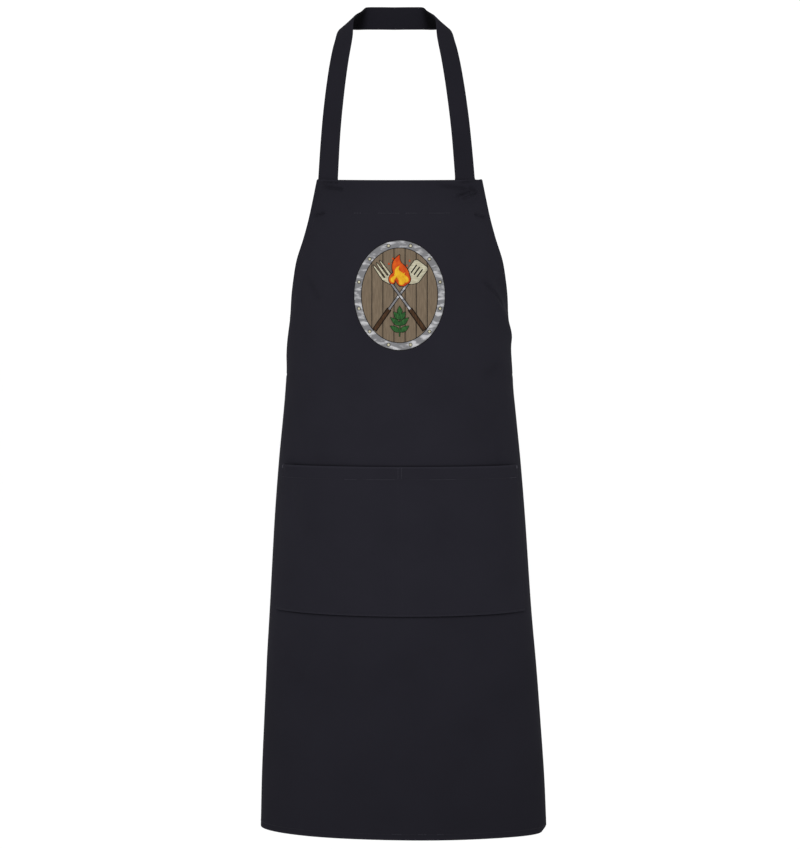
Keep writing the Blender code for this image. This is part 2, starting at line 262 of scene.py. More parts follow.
# How dark the painted shade in a hollow crease is for each metre of its depth, and the width below which it
# is shaded in full.
CREASE_PAINTED_SHADE = 100
NARROW_CREASE = 0.0022
fold_lines = [
    Crease(
        fold.across * BODY_WIDTH / 2,
        fold.drop * BODY_LENGTH,
        fold.end_across * BODY_WIDTH / 2,
        fold.end_drop * BODY_LENGTH,
        fold.width * FOLD_WIDTH,
        fold.height * FOLD_HEIGHT,
    )
    for fold in FOLDS
]


def ridges(lines, across, drop):
    """How far some folds or creases lift the cloth."""
    return sum(ridge(across, drop, line[:2], line[2:4], line.width, line.height) for line in lines)


def wavering(along, length, seed):
    """A wave that never repeats evenly, from -1 to 1, for puckers and slack."""
    first = np.sin(2 * math.pi * along / length + 2.1 * seed)
    second = np.sin(2 * math.pi * along / (0.61 * length) + 4.7 * seed)
    third = np.sin(2 * math.pi * along / (1.73 * length) + 1.3 * seed)
    return (first + 0.7 * second + 0.8 * third) / 2.5


def reach(drop):
    """The cloth's side edge, as its way across from the middle of the front."""
    cut = smooth_read(ARMHOLE, "reach", drop / ARMHOLE_HEIGHT)
    return (BIB_WIDTH + cut * (BODY_WIDTH - BIB_WIDTH)) / 2


def edge_slant(drop):
    """How much wider than across the edge a level line through a hem is."""
    slope = (reach(drop + 0.001) - reach(drop - 0.001)) / 0.002
    return np.minimum(np.sqrt(1 + slope**2), 1.9)


def seam(distance, along, seed, depth=0.00035, pucker=0.00022):
    """What a row of stitches does to the cloth: it draws a narrow groove, with puckers beside it."""
    groove = -depth * bell(distance, 0.0011)
    beside = pucker * wavering(along, 0.0105, seed) * bell(distance, 0.0045)
    return groove + beside


def pocket_floor(across):
    """The drop of the pocket's lower edge, which rises a little at its ends."""
    return POCKET_DROP + POCKET_HEIGHT - POCKET_END_LIFT * (2 * across / POCKET_WIDTH) ** 2


def relief(across, drop):
    """How far folds, creases and seams lift the cloth."""
    height = ridges(fold_lines + list(CREASES), across, drop)
    from_edge = (reach(drop) - np.abs(across)) / edge_slant(drop)
    height += seam(from_edge - SIDE_HEM + SEAM_IN, drop, 1.0 + (across > 0), 0.00018, 0.00016)
    pulled = np.clip(0.6 + 0.9 * wavering(across, 0.052, 0.4), 0.1, 1)
    height += pulled * seam(drop - BIB_HEM + SEAM_IN, across, 3.0, 0.0007, 0.0004)
    height += seam(BODY_LENGTH - drop - LOWER_HEM + SEAM_IN, across, 4.0, 0.0002)
    pressed = np.abs(across) < POCKET_WIDTH / 2
    height -= pressed * 0.0011 * bell(drop - pocket_floor(across) - 0.0006, 0.0022)
    return height


def worn(across, drop, out=0.0, lifted=True):
    """Points at places on the cloth's outer face, or out from it."""
    across, drop, out = np.broadcast_arrays(across, drop, out)
    wide, deep, forward, aside = section_at(drop)
    angle = angle_at(across, drop)
    side = np.copysign(np.sin(angle), across)
    share = np.maximum(drop, 0) / BODY_LENGTH
    upper = np.maximum(0, 1 - drop / ARMHOLE_HEIGHT)
    lift = BIB_CORNER_LIFT * (2 * across / BIB_WIDTH) ** 2 * upper**2
    slant = HEM_SLANT * side * wide / WORN_WIDTH * share**2
    points = np.stack(
        [
            BIB_ASIDE + aside + wide * side,
            -NECK_DEPTH - forward + deep * (1 - np.cos(angle)),
            -NECK_HEIGHT - drop + lift - slant,
        ],
        axis=-1,
    )
    outwards = unit(np.stack([deep * side, -wide * np.cos(angle), np.zeros_like(side)], axis=-1))
    if lifted:
        curled = ((across - CURLED_AT) / CURL_WIDE) ** 2 + ((BODY_LENGTH - drop) / CURL_HIGH) ** 2
        out = out + relief(across, drop) - CURL_IN * np.exp(-curled)
    return points + outwards * out[..., None]


# One thread of a turned hem's section: how far in from the visible edge it lies, how deep behind the
# outer face, which way the cloth faces there, and how far past the edge the flat cloth reaches.
Turn = namedtuple("Turn", "inward depth facing flat")


def turned_hem(width):
    """The section of cloth that is turned under at an edge, and under again inside."""
    path = []
    for degrees in (30, 60, 90, 120, 150, 180):
        angle = math.radians(degrees)
        inward = HEM_RADIUS * (1 - math.sin(angle))
        depth = HEM_RADIUS * (1 - math.cos(angle))
        path.append(Turn(inward, depth, math.cos(angle), HEM_RADIUS * angle))
    flat = HEM_RADIUS * math.pi
    run = width - HEM_RADIUS
    for share in (0.25, 0.6, 1):
        inward = HEM_RADIUS + run * share
        path.append(Turn(inward, 2 * HEM_RADIUS, -1, flat + run * share))
    flat += run
    for degrees in (60, 120, 180):
        angle = math.radians(degrees)
        inward = width + CURL_RADIUS * math.sin(angle)
        depth = 2 * HEM_RADIUS - CURL_RADIUS * (1 - math.cos(angle))
        path.append(Turn(inward, depth, -math.cos(angle), flat + CURL_RADIUS * angle))
    flat += CURL_RADIUS * math.pi
    depth = 2 * (HEM_RADIUS - CURL_RADIUS)
    path.append(Turn(width * 0.4, depth, 1, flat + width * 0.6))
    return path


def hem_steps(width, beyond, step):
    """Places in from the edge across a hem, from beyond its seam to where the cloth turns."""
    places = [beyond, width + 0.0035, width + 0.0008, width - 0.0008, width - 0.0024, width - 0.0045]
    count = max(2, round((width - 0.0045 - HEM_RADIUS) / step))
    places += list(np.linspace(width - 0.0045, HEM_RADIUS, count + 1)[1:])
    return [Turn(place, 0.0, 1.0, -place) for place in places]


def deselect():
    """Clears the selection, because an operator acts on all that is selected."""
    for other in bpy.context.selected_objects:
        other.select_set(False)


def cloth_grid(name, points, flat, edge_wear, shade=None):
    """A grid primitive with its points moved to the worn cloth's, the top row of them first."""
    rows, columns = points.shape[0] - 1, points.shape[1] - 1
    deselect()
    bpy.ops.mesh.primitive_grid_add(x_subdivisions=columns, y_subdivisions=rows, size=2)
    piece = bpy.context.object
    piece.name = name
    mesh = piece.data
    start = np.zeros(len(mesh.vertices) * 3)
    mesh.vertices.foreach_get("co", start)
    start = start.reshape(-1, 3)
    column = np.rint((start[:, 0] + 1) / 2 * columns).astype(int)
    row = np.rint((1 - start[:, 1]) / 2 * rows).astype(int)
    mesh.vertices.foreach_set("co", points[row, column].ravel())
    corner = np.zeros(len(mesh.loops), int)
    mesh.loops.foreach_get("vertex_index", corner)
    uv = mesh.uv_layers[0]
    uv.name = "flat"
    uv.data.foreach_set("uv", flat[row, column][corner].ravel())
    wear = mesh.attributes.new("edge_wear", "FLOAT", "POINT")
    wear.data.foreach_set("value", edge_wear[row, column].astype(np.float32))
    if shade is not None:
        dark = mesh.attributes.new("shade", "FLOAT", "POINT")
        dark.data.foreach_set("value", shade[row, column].astype(np.float32))
    mesh.shade_smooth()
    mesh.update()
    return piece


def give_wall(piece, thickness):
    """Gives an open sheet its thickness, away from its outer face."""
    bpy.context.view_layer.objects.active = piece
    wall = piece.modifiers.new("wall", "SOLIDIFY")
    wall.thickness = thickness
    wall.offset = -1
    wall.use_even_offset = False
    bpy.ops.object.modifier_apply(modifier=wall.name)


def plug(tree, made, sockets):
    """Sets a node's sockets, each to a value or to what is linked into it."""
    for name, value in sockets.items():
        if isinstance(value, bpy.types.NodeSocket):
            tree.links.new(value, made.inputs[name])
        else:
            made.inputs[name].default_value = value


def node(tree, kind, output, sockets, **settings):
    """The output of a new shader node with some settings and sockets."""
    made = tree.nodes.new("ShaderNode" + kind)
    for name, value in settings.items():
        setattr(made, name, value)
    plug(tree, made, sockets)
    return made.outputs[output]


def new_material(name, roughness, specular):
    """A material with its node tree and its shader."""
    material = bpy.data.materials.new(name)
    material.use_nodes = True
    tree = material.node_tree
    shader = tree.nodes["Principled BSDF"]
    plug(tree, shader, {"Roughness": roughness, "Specular IOR Level": specular})
    return material, tree, shader


def toned(colour, share, more=0.0):
    """A colour made darker or paler, with its alpha."""
    return (*[c * share + more for c in colour], 1)


def twill(name, colour, turn=RIB_TURN):
    """Matte cotton twill: slanting ribs of yarn with slubs and lint, a little paler where it is worn, and
    darker by painted shade where its piece's shade attribute is set.
    """
    material, tree, shader = new_material(name, 0.9, 0.02)
    uv = node(tree, "UVMap", "UV", {}, uv_map="flat")
    slant = node(tree, "Mapping", "Vector", {"Rotation": (0, 0, math.radians(turn)), "Vector": uv})
    slubs = {"Scale": BAND_SCALE / RIB, "Distortion": 1.6, "Detail": 2, "Detail Scale": 0.6, "Vector": slant}
    ribs = node(tree, "TexWave", "Fac", slubs)
    fine = {"Scale": BAND_SCALE / (RIB * 0.45), "Distortion": 0.8, "Vector": uv}
    yarns = node(tree, "TexWave", "Fac", fine, bands_direction="Y")
    lint = node(tree, "TexNoise", "Fac", {"Scale": 1 / (RIB * 1.2), "Detail": 3, "Vector": uv})
    cloud = node(tree, "TexNoise", "Fac", {"Scale": 11, "Detail": 4, "Vector": uv})

    weave = node(tree, "Math", "Value", {0: yarns, 1: 0.3, 2: ribs}, operation="MULTIPLY_ADD")
    rough = node(tree, "Math", "Value", {0: lint, 1: 0.8, 2: weave}, operation="MULTIPLY_ADD")
    bump = node(tree, "Bump", "Normal", {"Strength": 0.35, "Distance": 0.00022, "Height": rough})

    tone = node(tree, "Math", "Value", {0: rough, 1: 0.45, 2: cloud}, operation="MULTIPLY_ADD")
    low, high = toned(colour, 1 - MOTTLE * 0.6), toned(colour, 1 + MOTTLE * 0.5)
    dyed = node(tree, "Mix", "Result", {"A": low, "B": high, "Factor": tone}, data_type="RGBA")
    edge = node(tree, "Attribute", "Fac", {}, attribute_name="edge_wear")
    rubbed = node(tree, "Math", "Value", {0: edge, 1: lint}, operation="MULTIPLY")
    pale = toned(colour, 1 + 3 * WEAR, 0.004 * WEAR)
    faded = node(tree, "Mix", "Result", {"A": dyed, "B": pale, "Factor": rubbed}, data_type="RGBA")
    # Painted shade: the piece's shade attribute mixes the colour towards a near-black copy of it.
    shade = node(tree, "Attribute", "Fac", {}, attribute_name="shade")
    dark = toned(colour, 0.12)
    deep = node(tree, "Mix", "Result", {"A": faded, "B": dark, "Factor": shade}, data_type="RGBA")
    sheen = {"Sheen Weight": 0.004, "Sheen Roughness": 0.5, "Sheen Tint": (0.75, 0.78, 1.0, 1)}
    plug(tree, shader, {**sheen, "Base Color": deep, "Normal": bump})
    return material


def panel_columns(count, hem):
    """Columns of a panel from its left edge's tuck to its right one's: where the hems begin, and each
    column's share of the width inside them, way in from the edge, depth and place on the flat cloth."""
    zone = hem_steps(hem, hem + 0.009, 0.0025) + turned_hem(hem)
    beyond = zone[0].inward
    middle = np.linspace(-0.6, 0.6, round(0.36 * count) + 1)
    outer = np.linspace(0.6, 1, round(0.32 * count) + 1)[1:]
    shares = np.concatenate([-outer[::-1], middle, outer])
    inner = [(share, Turn(beyond, 0.0, 1.0, -beyond)) for share in shares]
    right = [(1, turn) for turn in zone[1:]]
    left = [(-1, turn) for turn in zone[:0:-1]]
    shares = np.array([share for share, _ in left + inner + right])
    inward, depth, _, flat = np.array([turn for _, turn in left + inner + right]).T
    return beyond, shares, inward, depth, flat


def panel_rows(top, low, middle, length):
    """Rows of a panel from its top edge's tuck to its lower one's: their way down, depth, which way the
    cloth faces there, and their place on the flat cloth."""
    upper, lower, level = top[:0:-1], low[1:], 0 * middle
    down = np.concatenate([[t.inward for t in upper], middle, [length - t.inward for t in lower]])
    depth = np.concatenate([[t.depth for t in upper], level, [t.depth for t in lower]])
    facing = np.concatenate([[t.facing for t in upper], level + 1, [t.facing for t in lower]])
    flat = np.concatenate([[-t.flat for t in upper], middle, [length + t.flat for t in lower]])
    return down[:, None], depth[:, None], facing[:, None], flat[:, None]


body_twill = twill("body_twill", NAVY)
beyond, shares, inward, column_depth, column_flat = panel_columns(132, SIDE_HEM)
inner = np.abs(shares) < 1

top = hem_steps(BIB_HEM, BIB_HEM + 0.006, 0.0014) + turned_hem(BIB_HEM)
low = hem_steps(LOWER_HEM, LOWER_HEM + 0.012, 0.0025) + turned_hem(LOWER_HEM)
MOUTH_ROWS = (-0.0040, -0.0024, -0.0012, 0.0, 0.0015, 0.004)
FLOOR_ROWS = (-0.0050, -0.0035, -0.0023, -0.0011, 0.0001, 0.0013, 0.0027, 0.0045)
middle = np.concatenate(
    [
        np.linspace(top[0].inward, BIB_LOW, 70),
        np.linspace(BIB_LOW, BODY_LENGTH - low[0].inward, 122)[1:],
        POCKET_DROP + np.array(MOUTH_ROWS),
        POCKET_DROP + POCKET_HEIGHT + np.array(FLOOR_ROWS),
    ]
)
middle.sort()
drop, row_depth, row_facing, row_flat = panel_rows(top, low, middle, BODY_LENGTH)
edge = reach(drop)
slanted = edge_slant(drop)
at_edge = np.sign(shares) * (edge - inward * slanted)
across = np.where(inner, shares * (edge - beyond * slanted), at_edge)
corner_bulk = 1 + np.clip((inward[None, :] < SIDE_HEM + 0.004) * (np.abs(shares) == 1), 0, 1)
depth = row_depth * corner_bulk + column_depth * row_facing
points = worn(across, drop + 0 * across, -depth)
flat_across = np.where(inner, across, np.sign(shares) * (edge + column_flat))
flat = np.stack([flat_across, -(row_flat + 0 * across)], axis=-1)
from_side = np.where(inner, 1.0, inward) + 0 * across
from_end = np.minimum(drop, BODY_LENGTH - drop) + 0 * across
edge_wear = bell(np.minimum(from_side, from_end), 0.0013)
# Painted shade: the cloth grows darker from a little below half way down to the hem, and more so to the
# right.
low_share = np.clip((drop - 0.50) / 0.38, 0, 1)
shade = low_share * (HEM_PAINTED_SHADE + HEM_PAINTED_SHADE_RIGHT * across) + 0 * across
# Painted shadow: a thin dark line on the cloth at the pocket's mouth, darker towards its left end.
mouth_end = np.clip((0.93 * POCKET_MOUTH / 2 - np.abs(across)) / 0.02, 0, 1)
behind_mouth = bell(drop - POCKET_DROP - 0.0004, 0.0016)
to_left = np.clip(-across / 0.17, 0, 1) ** 4
shade += mouth_end * behind_mouth * (MOUTH_PAINTED_SHADOW + MOUTH_PAINTED_SHADOW_LEFT * to_left)
# Painted shadow: a thin dark line on the cloth just under the pocket's lower edge.
low_end = np.clip((0.95 * POCKET_WIDTH / 2 - np.abs(across)) / 0.03, 0, 1)
shade += FLOOR_PAINTED_SHADOW * low_end * bell(drop - pocket_floor(across) - 0.0004, 0.0014)
# Painted shade along the bib's top hem, more towards its corners.
shade += TOP_PAINTED_SHADE * bell(drop, 0.032) * (0.5 + np.abs(across) / 0.12)
# Painted shade in the hollow creases, deeper in the deep and narrow ones.
for crease in CREASES:
    dark = CREASE_PAINTED_SHADE * max(0, -crease.height) * min(1, NARROW_CREASE / crease.width)
    shade += ridge(across, drop, crease[:2], crease[2:4], 1.2 * crease.width, dark)
shade = np.clip(shade, 0, 1)
apron_cloth = cloth_grid("apron_cloth", points, flat, edge_wear, shade)
apron_cloth.data.materials.append(body_twill)
outer_count = len(apron_cloth.data.vertices)
give_wall(apron_cloth, CLOTH)
# The painted shade stays on the outer face: the cloth's inside gets none.
shades = np.zeros(len(apron_cloth.data.vertices), np.float32)
apron_cloth.data.attributes["shade"].data.foreach_get("value", shades)
shades[outer_count:] = 0
apron_cloth.data.attributes["shade"].data.foreach_set("value", shades)
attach(apron_cloth, "root")
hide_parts("apron_body")

# The apron's seams: one row of navy cotton thread along each hem's inner fold, about three stitches to
# the centimetre, sunk into the cloth, with the same row on the inside.
STITCH = 0.0031
THREAD = 0.00028
SUNK = 0.0001
PROUD = 0.0003
# Stretches of the bib's and the lower hem's rows where the stitches stand proud; they are drawn in a paler
# thread, a painted highlight of the light they catch.
BIB_PROUD = ((-0.066, -0.052), (-0.032, 0.001), (0.008, 0.025), (0.039, 0.072))
HEM_PROUD = ((-0.262, -0.225), (-0.016, 0.000), (0.020, 0.034), (0.046, 0.058), (0.215, 0.245))
deselect()
bpy.ops.mesh.primitive_uv_sphere_add(segments=6, ring_count=4, radius=1)
one_stitch = bpy.context.object
stitch_points = np.array([v.co for v in one_stitch.data.vertices])[:, [2, 0, 1]]
stitch_faces = [tuple(p.vertices) for p in one_stitch.data.polygons]
bpy.data.objects.remove(one_stitch, do_unlink=True)


def thread_material(name, colour):
    """Twisted sewing thread: a soft shine, and its twist as fine slanting lines."""
    material, tree, shader = new_material(name, 0.62, 0.12)
    place = node(tree, "TexCoord", "Object", {})
    twist = node(tree, "TexWave", "Fac", {"Scale": 900, "Vector": place}, bands_direction="DIAGONAL")
    tones = {"A": toned(colour, 0.75), "B": toned(colour, 1.25), "Factor": twist}
    plug(tree, shader, {"Base Color": node(tree, "Mix", "Result", tones, data_type="RGBA")})
    return material


def stitch_rows(name, rows, material, gap=0.78):
    """Rows of stitches in one piece. Each row is a line of points and the way out of the cloth there."""
    all_points, all_faces, count = [], [], 0
    for line, out in rows:
        run = run_along(line)
        total = max(1, int(run[-1] / STITCH))
        pitch = run[-1] / total
        starts = (np.arange(total) + (1 - gap) / 2) * pitch
        ends = starts + gap * pitch
        first = np.stack([np.interp(starts, run, line[:, k]) for k in range(3)], axis=1)
        last = np.stack([np.interp(ends, run, line[:, k]) for k in range(3)], axis=1)
        lift = np.stack([np.interp((starts + ends) / 2, run, out[:, k]) for k in range(3)], axis=1)
        for a, b, up in zip(first, last, lift):
            way = (b - a) / 2
            side = np.cross(way, up)
            side /= np.linalg.norm(side)
            placed = (a + b) / 2 + stitch_points[:, :1] * way
            placed = placed + stitch_points[:, 1:2] * side * THREAD + stitch_points[:, 2:] * up * THREAD
            all_points.append(placed)
            all_faces += [tuple(i + count for i in face) for face in stitch_faces]
            count += len(stitch_points)
    mesh = bpy.data.meshes.new(name)
    mesh.from_pydata(np.concatenate(all_points).tolist(), [], all_faces)
    mesh.shade_smooth()
    mesh.materials.append(material)
    piece = bpy.data.objects.new(name, mesh)
    bpy.context.scene.collection.objects.link(piece)
    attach(piece, "root")


def seam_line(across, drop, out=0.0):
    """A row of stitches along places on the apron's cloth: its points and the way out of the cloth."""
    line = worn(across, drop, out)
    up = worn(across, drop, out + 0.001) - line
    return line, unit(up)


def both_sides(across, drop, through):
    """The same row on the outside and, through the hem, on the inside."""
    line, up = seam_line(across, drop, SUNK)
    back, _ = seam_line(across, drop, -through)
    return [(line, up), (back, -up)]


def proud_parts(rows, line_of, places, windows):
    """Splits a row's places: inside the windows its stitches stand proud, and between them they are sunk."""
    inside = np.zeros(len(places), bool)
    for start, end in windows:
        inside |= (places > start) & (places < end)
    cuts = np.flatnonzero(np.diff(inside.astype(int))) + 1
    for part in np.split(np.arange(len(places)), cuts):
        if len(part) > 2:
            proud = bool(inside[part[0]])
            rows[proud].append(line_of(places[part], PROUD if proud else SUNK))


def span(start, end, step=0.002):
    """Evenly spaced values between two."""
    return np.linspace(start, end, max(2, round(abs(end - start) / step)))


hem_rows = []
side_drop = span(0.0015, BODY_LENGTH - 0.002)
for side in (-1, 1):
    side_across = side * (reach(side_drop) - (SIDE_HEM - SEAM_IN) * edge_slant(side_drop))
    hem_rows += both_sides(side_across, side_drop, 2 * HEM_RADIUS)
top_across = span(-BIB_WIDTH / 2 - 0.010, BIB_WIDTH / 2 + 0.010)
low_across = span(-BODY_WIDTH / 2 + 0.002, BODY_WIDTH / 2 - 0.002)
split_rows = {True: [], False: hem_rows}
for level, places, windows in (
    (BIB_HEM - SEAM_IN, top_across, BIB_PROUD),
    (BODY_LENGTH - LOWER_HEM + SEAM_IN, low_across, HEM_PROUD),
):
    hem_rows.append(both_sides(places, 0 * places + level, 2 * HEM_RADIUS)[1])
    proud_parts(split_rows, lambda part, out: seam_line(part, 0 * part + level, out), places, windows)
navy_thread = thread_material("navy_thread", (0.0125, 0.0120, 0.0165))
# Paler thread for the proud stitches: a painted highlight on the navy thread.
highlit_thread = thread_material("highlit_thread", (0.036, 0.035, 0.045))
stitch_rows("hem_stitches", hem_rows, navy_thread)
stitch_rows("proud_stitches", split_rows[True], highlit_thread)

# The front pocket: one wide patch of the same twill, hemmed along its mouth and turned under at its sides
# and bottom, sewn on with one row and divided by two rows down the middle. Bartacks hold the mouth's ends.
POCKET_HEM = 0.019
POCKET_FULLNESS = 0.0085
POCKET_GAPE = 0.14
POCKET_LIES = 0.0026
PATCH_HEM = 0.008
PATCH_SEAM = 0.002
FLOOR_SEAM = 0.0026
TWIN_SEAMS = (-0.0024, 0.0024)
TACK_WIDE = 0.0030
TACK_LONG = 0.0055
# Stretches of the pocket mouth's row where the stitches stand proud; they are drawn in the paler thread, a
# painted highlight.
MOUTH_PROUD = ((-0.40, -0.30), (-0.24, -0.03), (0.20, 0.40), (0.86, 0.97))


def pocket_place(place, down):
    """Way across and drop on the apron of a place on the pocket, -1 to 1 across and down from the mouth."""
    share = np.clip(down / POCKET_HEIGHT, 0, 1)
    half = (POCKET_MOUTH + (POCKET_WIDTH - POCKET_MOUTH) * np.sqrt(share)) / 2
    return place * half, POCKET_DROP + down - POCKET_END_LIFT * share * np.clip(place, -1, 1) ** 2


# Dents and slack in the pocket's cloth, in metres across the pocket and down from its mouth.
POCKET_CREASES = (
    Crease(-0.115, 0.130, -0.075, 0.168, 0.0100, -0.0022),
    Crease(-0.095, 0.095, -0.062, 0.125, 0.0110, 0.0020),
    Crease(-0.165, 0.030, -0.135, 0.100, 0.0090, -0.0015),
    Crease(-0.150, 0.020, -0.120, 0.090, 0.0080, 0.0012),
    Crease(0.030, 0.050, 0.066, 0.086, 0.0110, -0.0018),
    Crease(0.018, 0.066, 0.045, 0.100, 0.0100, 0.0012),
    Crease(0.120, 0.120, 0.150, 0.165, 0.0120, -0.0012),
    Crease(-0.182, 0.000, -0.155, 0.002, 0.0060, 0.0036),
    Crease(0.135, 0.001, 0.165, 0.002, 0.0060, 0.0020),
)


def pocket_out(place, down):
    """How far the pocket's outer face stands off the apron: full in its two halves, flat where it is sewn."""
    share = np.clip(down / POCKET_HEIGHT, 0, 1)
    bulge = POCKET_GAPE + (1 - POCKET_GAPE) * np.sin(math.pi * share**0.8)
    bulge = bulge * np.sin(math.pi / 2 * np.minimum(1, (1 - share) / 0.4))
    full = np.abs(np.sin(math.pi * np.clip(place, -1, 1))) * bulge
    out = POCKET_LIES + POCKET_FULLNESS * full
    across, _ = pocket_place(place, down)
    slack = np.clip((1 - np.abs(place)) / 0.06, 0, 1) * np.clip((1 - share) / 0.1, 0, 1)
    out = out + slack * ridges(POCKET_CREASES, across, down)
    half = np.abs(pocket_place(1.0, down)[0])
    from_side = half - np.abs(across)
    out = out + seam(from_side - PATCH_SEAM, down, 5.0, 0.0001, 0.0001)
    out = out + seam(POCKET_HEIGHT - down - FLOOR_SEAM, across, 6.0, 0.0008)
    out = out + seam(down - POCKET_HEM + SEAM_IN, across, 7.0)
    for middle in TWIN_SEAMS:
        out = out + seam(across - middle, down, 8.0, depth=0.0003, pucker=0.0001)
    return out


pocket_twill = twill("pocket_twill", NAVY)
beyond, shares, inward, column_depth, column_flat = panel_columns(112, PATCH_HEM)
inner = np.abs(shares) < 1
top = hem_steps(POCKET_HEM, POCKET_HEM + 0.005, 0.0022) + turned_hem(POCKET_HEM)
low = hem_steps(PATCH_HEM, PATCH_HEM + 0.006, 0.0025) + turned_hem(PATCH_HEM)
middle = np.linspace(top[0].inward, POCKET_HEIGHT - low[0].inward, 60)
down, row_depth, row_facing, row_flat = panel_rows(top, low, middle, POCKET_HEIGHT)
half = pocket_place(1.0, down)[0]
place = np.where(inner, shares * (half - beyond), np.sign(shares) * (half - inward)) / half
depth = row_depth + column_depth * row_facing * 0.85
across, drop = pocket_place(place, down + 0 * place)
points = worn(across, drop, pocket_out(place, down + 0 * place) - depth)
flat_across = np.where(inner, across, np.sign(shares) * (half + column_flat))
flat = np.stack([flat_across + 0.37, -(row_flat + 0 * across) + 0.21], axis=-1)
from_side = np.where(inner, 1.0, inward) + 0 * across
from_end = np.minimum(down, POCKET_HEIGHT - down) + 0 * across
edge_wear = np.maximum(0.2 * bell(from_side, 0.0015), bell(from_end, 0.0015))
pocket_cloth = cloth_grid("pocket_cloth", points, flat, edge_wear)
pocket_cloth.data.materials.append(pocket_twill)
give_wall(pocket_cloth, CLOTH)
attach(pocket_cloth, "root")
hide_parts("front_pocket")


def pocket_line(place, down, lift=SUNK):
    """A row of stitches along places on the pocket."""
    across, drop = pocket_place(place, down)
    out = pocket_out(place, down)
    line = worn(across, drop, out + lift)
    up = worn(across, drop, out + lift + 0.001) - line
    return line, unit(up)


pocket_rows = []
side_down = span(0.001, POCKET_HEIGHT - 0.002)
half = pocket_place(1.0, side_down)[0]
for side in (-1, 1):
    pocket_rows.append(pocket_line(side * (1 - PATCH_SEAM / half), side_down))
level = span(-1 + 0.012, 1 - 0.012, 0.01)
pocket_rows.append(pocket_line(level, 0 * level + POCKET_HEIGHT - FLOOR_SEAM))
pocket_split = {True: [], False: pocket_rows}
mouth_seam = POCKET_HEM - SEAM_IN
proud_parts(pocket_split, lambda part, out: pocket_line(part, 0 * part + mouth_seam, out), level, MOUTH_PROUD)
for middle in TWIN_SEAMS:
    proud_parts(
        pocket_split,
        lambda part, out: pocket_line(middle / pocket_place(1.0, part)[0], part, out),
        side_down,
        ((0.0, POCKET_HEM),),
    )
stitch_rows("pocket_stitches", pocket_rows, navy_thread)
# The proud stitches of the mouth's row and of the twin rows' tops take the paler thread: a painted highlight.
stitch_rows("pocket_proud_stitches", pocket_split[True], highlit_thread)

tack_rows = []
for side in (-1, 1):
    for step in np.linspace(0.0, TACK_WIDE, 8):
        tack = np.array([side * (1 - (0.0005 + step) / (POCKET_MOUTH / 2))] * 4)
        tack_rows.append(pocket_line(tack, np.linspace(0.0008, TACK_LONG, 4), 0.0004))
# The bartacks are in the paler thread too: a painted highlight.
stitch_rows("pocket_bartacks", tack_rows, highlit_thread, gap=0.98)

# The neck strap: a band of the same twill, folded double to 32 mm and sewn along both edges. Its ends are
# sewn behind the bib's corners, and it goes up the chest and turns over behind the neck.
STRAP_WIDTH = 0.032
STRAP_THICK = 0.0019
STRAP_SEWN = 0.040
# The strap's colour is the panel's navy made darker: painted shade on the same twill.
SHADED_STRAP_NAVY = tuple(0.84 * c for c in NAVY)
# Where the painted shadow on the strap's inner face is darkest, as a share of the strap's points from the
# nape to each end.
TURN_AT = 0.168
STRAP_INSETS = {1: 0.0105, -1: 0.0008}
STRAP_BEHIND = 2 * HEM_RADIUS + 0.0005

Station = namedtuple("Station", "along side back rise turn dip")
STATIONS = (
    Station(0.000, 1.000, 0.00, 0.000, 30, 0),
    Station(0.091, 0.981, 0.03, 0.120, 31, 1),
    Station(0.182, 0.960, 0.06, 0.238, 32, 2),
    Station(0.273, 0.934, 0.10, 0.357, 32, 3),
    Station(0.364, 0.902, 0.15, 0.475, 32, 4),
    Station(0.455, 0.864, 0.21, 0.595, 32, 6),
    Station(0.545, 0.818, 0.29, 0.717, 32, 8),
    Station(0.636, 0.760, 0.40, 0.839, 33, 13),
    Station(0.727, 0.708, 0.575, 0.945, 44, 27),
    Station(0.818, 0.535, 0.80, 0.980, 56, 54),
    Station(0.864, 0.435, 0.93, 0.996, 64, 76),
    Station(0.909, 0.290, 0.985, 1.000, 78, 84),
    Station(1.000, 0.000, 1.00, 1.000, 90, 84),
)

sewn_ends = {}
for side, inset in STRAP_INSETS.items():
    outer = BIB_WIDTH / 2 - inset
    edges = worn(side * np.array([outer, outer - STRAP_WIDTH]), np.zeros(2), -STRAP_BEHIND, False)
    sewn_ends[side] = edges.mean(axis=0)
spread = (sewn_ends[1][0] - sewn_ends[-1][0]) / 2
strap_middle = (sewn_ends[1][0] + sewn_ends[-1][0]) / 2


def strap_centre(side, along):
    """Points on the middle line of the strap's free half."""
    back = smooth_read(STATIONS, "back", along)
    rise = smooth_read(STATIONS, "rise", along)
    x = side * spread * smooth_read(STATIONS, "side", along) + strap_middle * (1 - rise)
    return np.stack([x, sewn_ends[side][1] * (1 - back), sewn_ends[side][2] * (1 - rise)], axis=-1)


def strap_half(side, steps):
    """The strap's middle line and its half width from outer to inner edge, from the bib to the nape."""
    along = np.linspace(0, 1, steps)
    centre = strap_centre(side, along)
    ahead, behind = np.minimum(along + 0.01, 1), np.maximum(along - 0.01, 0)
    way = unit(strap_centre(side, ahead) - strap_centre(side, behind))
    turn = np.radians(smooth_read(STATIONS, "turn", along))
    dip = np.radians(smooth_read(STATIONS, "dip", along))
    wide = np.stack([side * np.cos(turn) * np.cos(dip), np.sin(turn) * np.cos(dip), -np.sin(dip)], axis=-1)
    wide -= (wide * way).sum(axis=1, keepdims=True) * way
    wide *= STRAP_WIDTH / 2 / np.linalg.norm(wide, axis=1, keepdims=True)
    return centre, wide


